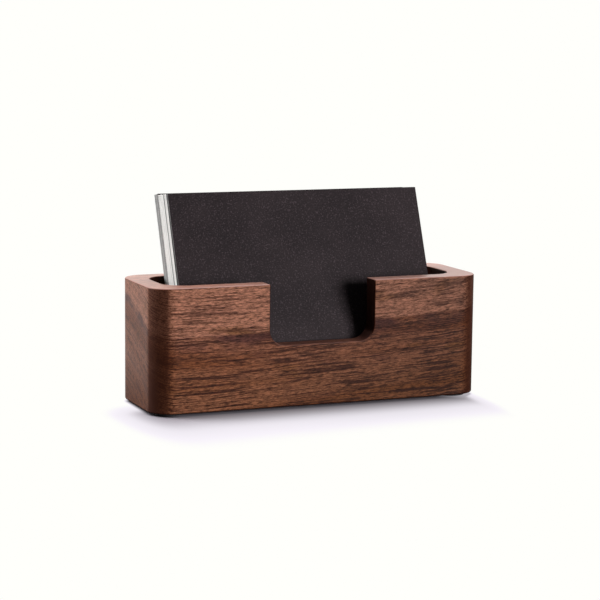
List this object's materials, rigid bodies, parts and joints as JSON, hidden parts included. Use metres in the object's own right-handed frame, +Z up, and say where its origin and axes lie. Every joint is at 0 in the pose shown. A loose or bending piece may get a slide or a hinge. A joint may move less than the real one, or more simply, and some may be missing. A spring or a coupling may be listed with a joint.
{
  "type": "business card holder",
  "caption": "Desk stand for business cards: a rounded walnut block with an oblong trough and a thumb notch, on round pads, with a leaning pack of cards.",
  "frame": {"origin": "on the surface that the pads stand on, under the middle of the block", "axes": "+X along the block, to the right as seen from the front; -Y towards the front, where the thumb notch is; +Z up"},
  "size_m": [0.116, 0.0411, 0.069],
  "materials": {
    "walnut": "satin oiled walnut, sanded smooth, with the grain along the block",
    "pad": "matt black self-adhesive pad",
    "charcoal_card": "uncoated charcoal card, plain, with fine flecks",
    "white_card": "uncoated off-white card",
    "grey_card": "uncoated mid grey card"
  },
  "bodies": {
    "holder": {"holder_block": "walnut", "foot_front_left": "pad", "foot_front_right": "pad", "foot_back_left": "pad", "foot_back_right": "pad"},
    "front_card": {"card_01": "charcoal_card"},
    "card_pack": {"card_02": "charcoal_card", "card_03": "charcoal_card", "card_04": "charcoal_card", "card_05": "white_card", "card_06": "white_card", "card_07": "white_card", "card_08": "white_card", "card_09": "white_card", "card_10": "grey_card", "card_11": "grey_card", "card_12": "grey_card", "card_13": "white_card", "card_14": "white_card", "card_15": "white_card", "card_16": "white_card", "card_17": "white_card", "card_18": "white_card", "card_19": "white_card", "card_20": "white_card", "card_21": "white_card", "card_22": "white_card", "card_23": "white_card", "card_24": "white_card", "card_25": "white_card", "card_26": "white_card", "card_27": "charcoal_card", "card_28": "grey_card", "card_29": "grey_card", "card_30": "grey_card", "card_31": "grey_card", "card_32": "grey_card", "card_33": "grey_card", "card_34": "grey_card", "card_35": "grey_card", "card_36": "grey_card"}
  },
  "joints": [
    {"name": "front_card_lift", "type": "slide", "parent": "holder", "child": "front_card", "axis": [0, 0.3652, 0.9309], "range_m": [0, 0.024]},
    {"name": "card_pack_lift", "type": "slide", "parent": "holder", "child": "card_pack", "axis": [0, 0.3652, 0.9309], "range_m": [0, 0.024]}
  ]
}
